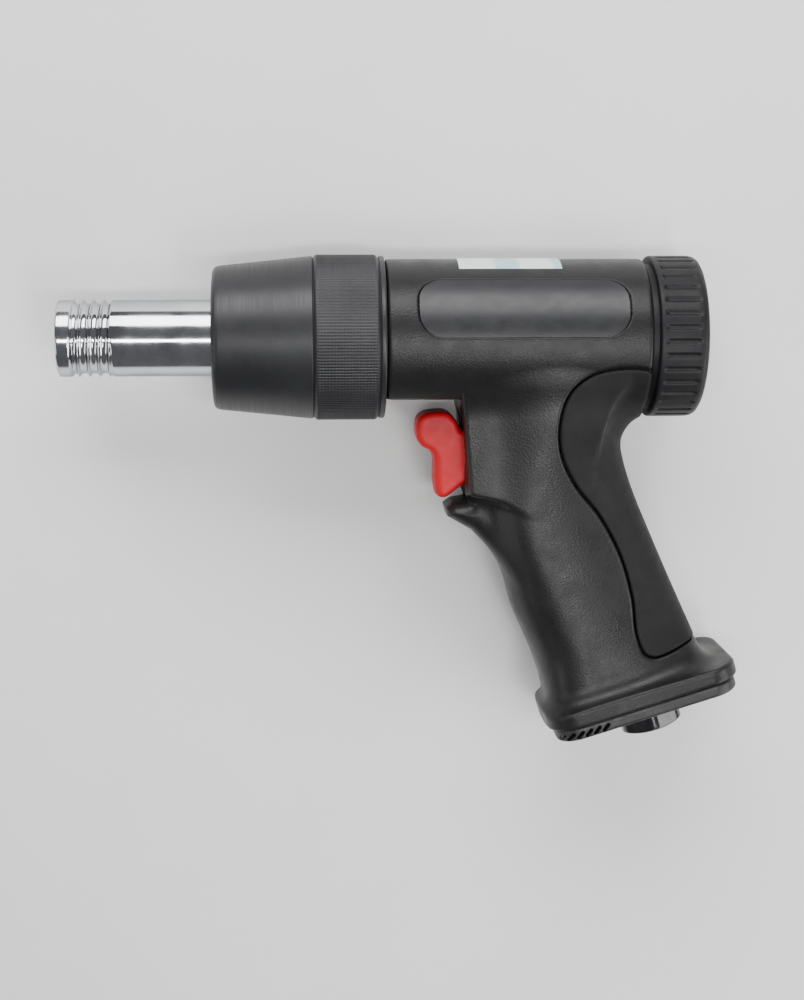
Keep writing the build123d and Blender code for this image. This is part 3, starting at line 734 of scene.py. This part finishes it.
def gloss_black():
    s = Shader("gloss_black", (0.016, 0.016, 0.018), 0.2, 0.35, Coat_Weight=0.4,
               Coat_Roughness=0.12)
    s.tint(s.ramp(s.noise(150.0, 5.0), 0.0, 1.0), (0.012, 0.012, 0.013), (0.030, 0.030, 0.032))
    s.rough(s.ramp(s.noise(420.0, 5.0), 0.14, 0.30))
    s.bump((s.noise(1800.0, 3.0), 0.08, 0.00003))
    return s.material


def blank_plate():
    """The recessed side plate, smooth and without any marking."""
    s = Shader("blank_plate", (0.014, 0.014, 0.016), 0.36, Specular_IOR_Level=0.4)
    s.tint(s.ramp(s.noise(60.0, 5.0), 0.0, 1.0), (0.012, 0.012, 0.014), (0.016, 0.016, 0.018))
    s.rough(s.ramp(s.noise(260.0, 5.0), 0.34, 0.42))
    s.bump((s.noise(3000.0, 3.0), 0.12, 0.00003))
    return s.material


def sticker():
    """Plain pale film with two soft green and blue bands and no print."""
    s = Shader("sticker", (0.74, 0.80, 0.77), 0.35, Coat_Weight=0.3, Coat_Roughness=0.15)
    wave = s.node("TexWave", wave_type="BANDS", bands_direction="X")
    wave.inputs["Scale"].default_value = 16.0
    wave.inputs["Distortion"].default_value = 1.2
    wave.inputs["Detail"].default_value = 2.0
    s.link(s.coordinates, wave.inputs["Vector"])
    bands = s.mix(s.ramp(wave.outputs["Fac"], 0.0, 1.0, 0.55, 0.75), (0.74, 0.80, 0.77),
                  (0.34, 0.58, 0.62))
    s.tint(s.ramp(s.noise(220.0, 4.0), 0.0, 0.35), bands, (0.55, 0.66, 0.58))
    s.rough(s.ramp(s.noise(500.0, 4.0), 0.28, 0.42))
    s.bump((s.noise(1600.0, 3.0), 0.08, 0.00003))
    return s.material


def bronze():
    return ground_steel("bronze", (0.52, 0.33, 0.15), (0.28, 0.42))


def felt():
    s = Shader("felt", (0.34, 0.33, 0.29), 0.95, Sheen_Weight=0.4)
    fibres = s.noise(1400.0, 6.0, 0.7)
    s.tint(s.ramp(fibres, 0.0, 1.0), (0.24, 0.23, 0.20), (0.42, 0.40, 0.36))
    s.rough(s.ramp(fibres, 0.88, 1.0))
    s.bump((fibres, 0.7, 0.0003))
    return s.material


CAST, OXIDE, CAP, CHROME = cast_enamel(), black_oxide(), cap_black(), chrome()
STEEL = ground_steel()
SPRING = ground_steel("spring_steel", (0.30, 0.31, 0.33), (0.28, 0.42))
PAD = rubber("grip_rubber")
RUBBER = rubber("seal_rubber", (0.014, 0.014, 0.014), 0.00004)
BUMPER = rubber("bumper_rubber", (0.03, 0.03, 0.032), 0.00005)
RED, MOULDED, GLOSS = red_plastic(), moulded_black(), gloss_black()
PLATE, STICKER, BRONZE, FELT = blank_plate(), sticker(), bronze(), felt()

NODE_MATERIALS = {
    "barrel_o_rings": RUBBER, "piston": STEEL, "valve_front_plate": STEEL, "valve_disc": STEEL,
    "valve_back_plate": STEEL, "valve_dowel": STEEL, "valve_lock_ring": STEEL,
    "rear_isolator_spring": SPRING, "front_wiper_seal": RUBBER, "front_guide_bushing": BRONZE,
    "front_bumper": BUMPER, "collar_o_ring": RUBBER, "side_plate_left": PLATE,
    "side_plate_right": PLATE, "top_label": STICKER, "rear_cap_o_ring": RUBBER,
    "trigger_pin": STEEL, "throttle_stem": STEEL, "throttle_bushing": BRONZE,
    "throttle_seat": BRONZE, "throttle_spring": SPRING, "base_cap_screws": GLOSS,
    "muffler_felt": FELT, "inlet_washer": BRONZE, "inlet_screen": STEEL,
}


def finish_cad_nodes():
    """Gives each CAD node that stays in view its procedural material."""
    for name, material in NODE_MATERIALS.items():
        mesh = NODES[name].data
        mesh.materials.clear()
        mesh.materials.append(material)


# ---------------------------------------------------------------- turned pieces

BARREL_R, NOSE_STEP, NOSE_RUN = 12.7, 0.17, 19.5


def make_barrel():
    """Chromed barrel with a helical round thread on its nose."""
    pitch, depth, wire, start, end = 3.4, 1.2, 1.62, 4.1, 18.4
    outside = rounded_profile([
        (0, 5.125, 0.5), (0, BARREL_R, 0.9), (88, BARREL_R, 0), (88, 17.42, 0.5), (94, 17.42, 0.5),
        (94, 15.2, 0), (144, 15.2, 0), (144, 17.42, 0.4), (147.2, 17.42, 0.1), (147.2, 15.05, 0),
        (149.8, 15.05, 0), (149.8, 17.42, 0.1), (152, 17.42, 0.1), (152, 15.4, 0), (163, 15.4, 0),
        (163, 17.42, 0.1), (164.2, 17.42, 0.1), (164.2, 15.05, 0), (166.8, 15.05, 0),
        (166.8, 17.42, 0.1), (168, 17.42, 0.4), (168, 13.0, 0.3), (150, 13.0, 0),
        (150, 9.525, 0.2), (28, 9.525, 0.2), (28, 5.125, 0.3),
    ])
    profile = refined(refined(outside, NOSE_STEP, 0.0, 20.0), 3.0, 20.0, 150.0)

    def thread(x, angle, r):
        phase = ((x - start) / pitch - angle / (2 * math.pi)) % 1.0 - 0.5
        off = np.abs(phase) * pitch
        groove = np.sqrt(np.maximum(wire**2 - off**2, 0.0)) - (wire - depth)
        runout = np.clip((x - start) / 1.4, 0, 1) * np.clip((end - x) / 1.4, 0, 1)
        return -np.maximum(groove, 0.0) * runout * (r > 12.0) * (x < end)

    obj = lathe("barrel_chromed", dense_nose(profile), 192, CHROME, thread)
    return dress(obj, "barrel", "chromed_steel", "barrel")


def dense_nose(profile):
    """Splits the nose's long outer run so that the thread's helix has points to follow."""
    out = []
    for (ax, ar), (bx, br) in zip(profile, profile[1:] + profile[:1]):
        out.append((ax, ar))
        level = abs(ar - BARREL_R) < 0.01 and abs(br - BARREL_R) < 0.01
        if level and ax < NOSE_RUN < bx:
            steps = int((NOSE_RUN - ax) / NOSE_STEP)
            out += [(ax + NOSE_STEP * k, BARREL_R) for k in range(1, steps)]
    return out


def make_collar():
    """Front sleeve: a smooth cone, a fine straight knurl cut by shallow rings, and a rim."""
    x0, x1 = COLLAR_LOW[0], COLLAR_HIGH[0]
    k0, k1 = 84.3, 105.7
    corners = [
        (x0, 13.3, 0.4), (x0, 23.7, 2.6), (k0 - 0.5, 27.1, 0.35), (k0 - 0.1, 26.5, 0.1),
        (k0 + 0.7, 27.35, 0.3), (k1 - 0.7, 27.35, 0.3), (k1 + 0.1, 26.5, 0.1),
        (k1 + 0.5, 27.05, 0.35), (x1, 27.05, 0.7), (x1, 22.0, 0.3), (82, 22.0, 0.0),
        (82, 18.2, 0.0), (76, 18.2, 0.0), (76, 17.0, 0.0), (54, 17.0, 0.0), (54, 13.3, 0.0),
    ]
    profile = refined(rounded_profile(corners), 0.26, k0 + 0.5, k1 - 0.5)
    profile = refined(profile, 2.0, x0 + 2.0, k0)
    ridges = 168

    def knurl(x, angle, r):
        inside = np.clip((x - k0 - 0.7) / 0.5, 0, 1) * np.clip((k1 - 0.7 - x) / 0.5, 0, 1)
        straight = np.abs(np.sin(angle * ridges / 2))
        rings = np.abs(np.sin((x - k0) * math.pi / 1.05))
        height = 0.32 * straight * (0.72 + 0.28 * rings) - 0.12
        return height * inside * (r > 26.0)

    obj = lathe("front_collar_knurled", profile, ridges * 4, OXIDE, knurl)
    return dress(obj, "housing", "blackened_steel", "front_collar")


def make_rear_cap():
    """Screw-on cap with axial grooves between its ribs and a shallow dished back."""
    x1 = CAP_BACK_X
    ribs, rib_from, rib_to = 36, 198.2, 210.2
    corners = [
        (194.6, 21.2, 0.1), (194.6, 24.2, 0.2), (196.6, 24.2, 0.2), (196.6, 27.0, 0.7),
        (x1, 27.0, 3.4), (x1, 19.5, 0.8), (x1 - 1.0, 18.0, 0.8), (x1 - 1.0, 0.02, 0.0),
        (207.5, 0.02, 0.0), (207.5, 16.5, 0.4), (188.2, 16.5, 0.3), (188.2, 20.95, 0.4),
        (194.6, 20.95, 0.0),
    ]
    profile = refined(rounded_profile(corners), 0.45, 196.6, x1)

    def rib(x, angle, r):
        wave = np.cos(angle * ribs)
        valley = np.clip((wave - 0.35) / 0.5, 0, 1)
        ends = np.clip((x - rib_from) / 0.9, 0, 1) * np.clip((rib_to - x) / 1.6, 0, 1)
        smooth = valley * valley * (3 - 2 * valley)
        return -0.75 * smooth * ends * (r > 22.0) * (x > 196.0)

    obj = lathe("rear_cap_ribbed", profile, ribs * 14, CAP, rib)
    return dress(obj, "housing", "cap_black", "rear_cap")


# ---------------------------------------------------------------- sculpted pieces

def make_housing():
    obj = sculpt("housing_casting", housing, HOUSING_LOW, HOUSING_HIGH, 0.62, CAST, 190000)
    return dress(obj, "housing", "black_casting", "housing")


def make_palm_pad():
    low, high = span("palm_grip")
    obj = sculpt("palm_pad", palm_pad, low - 1.0, high + 1.0, 0.6, PAD, 120000)
    return dress(obj, "housing", "grip_rubber", "palm_grip")


def make_trigger():
    low, high = span("trigger")
    obj = sculpt("trigger_red", trigger, low, high, 0.34, RED)
    return dress(obj, "trigger", "red_plastic", "trigger")


def make_base_cap():
    low, high = span("base_cap")
    obj = sculpt("exhaust_cover", base_cap, low, high, 0.36, MOULDED, 180000)
    return dress(obj, "housing", "base_black", "base_cap")


def make_inlet():
    low, high = span("air_inlet_bushing")
    obj = sculpt("air_inlet_hex", inlet_bushing, low, high, 0.28, GLOSS, 160000)
    return dress(obj, "housing", "inlet_black", "air_inlet_bushing")


# ---------------------------------------------------------------- stage

def make_floor():
    """A pale sheet under the gun, well past the camera's view."""
    low = CAD_BOX[0]
    size, level = 2.0, low.z - 0.0002
    mesh = bpy.data.meshes.new("floor")
    mesh.from_pydata([(-size, -size, level), (size, -size, level), (size, size, level),
                      (-size, size, level)], [], [(0, 1, 2, 3)])
    floor = bpy.data.objects.new("floor", mesh)
    bpy.context.scene.collection.objects.link(floor)
    s = Shader("floor_paper", (0.80, 0.80, 0.79), 0.85)
    s.tint(s.ramp(s.noise(9.0, 4.0), 0.0, 1.0), (0.78, 0.78, 0.77), (0.82, 0.82, 0.81))
    mesh.materials.append(s.material)


def facing(place, target):
    """The turn that looks from place to target with +Y upwards."""
    back = (Vector(place) - Vector(target)).normalized()
    right = Vector((0, 1, 0)).cross(back).normalized()
    return Matrix((right, back.cross(right), back)).transposed().to_euler()


def make_light(name, place, target, size, power):
    data = bpy.data.lights.new(name, "AREA")
    data.shape = "RECTANGLE"
    data.size, data.size_y = size
    data.energy = power
    lamp = bpy.data.objects.new(name, data)
    lamp.location = place
    lamp.rotation_euler = facing(place, target)
    bpy.context.scene.collection.objects.link(lamp)


EYE, LENS = (0.0786, 0.0378, 0.5785), 62.0


def make_camera_and_lights():
    """The camera is about 0.58 m over the gun, its estimated height, looking at its middle."""
    middle = (CAD_BOX[0] + CAD_BOX[1]) / 2
    eye = Vector(EYE)
    aim = Vector((middle.x, middle.y, 0.0))
    data = bpy.data.cameras.new("camera")
    data.lens = LENS
    camera = bpy.data.objects.new("camera", data)
    camera.location = eye
    camera.rotation_euler = facing(eye, aim)
    bpy.context.scene.collection.objects.link(camera)
    bpy.context.scene.camera = camera

    make_light("strip", (0.135, -0.045, 0.68), (0.135, -0.045, 0.0), (0.50, 0.06), 2.6)
    make_light("top_box", (0.05, 0.75, 0.50), aim, (1.0, 0.5), 14.0)
    make_light("right_box", (0.90, -0.35, 0.40), aim, (0.4, 0.8), 7.0)
    make_light("left_box", (-0.85, -0.30, 0.55), aim, (0.4, 0.8), 3.0)
    make_light("handle_box", (0.27, -0.25, 0.68), (0.19, -0.09, 0.0), (0.10, 0.16), 1.3)
    world = bpy.data.worlds.new("studio")
    bpy.context.scene.world = world
    world.use_nodes = True
    world.node_tree.nodes["Background"].inputs["Color"].default_value = (0.95, 0.97, 1.0, 1)
    world.node_tree.nodes["Background"].inputs["Strength"].default_value = 0.16


make_camera_and_lights()
make_floor()
finish_cad_nodes()
make_barrel()
make_collar()
make_rear_cap()
make_housing()
make_palm_pad()
make_trigger()
make_base_cap()
make_inlet()
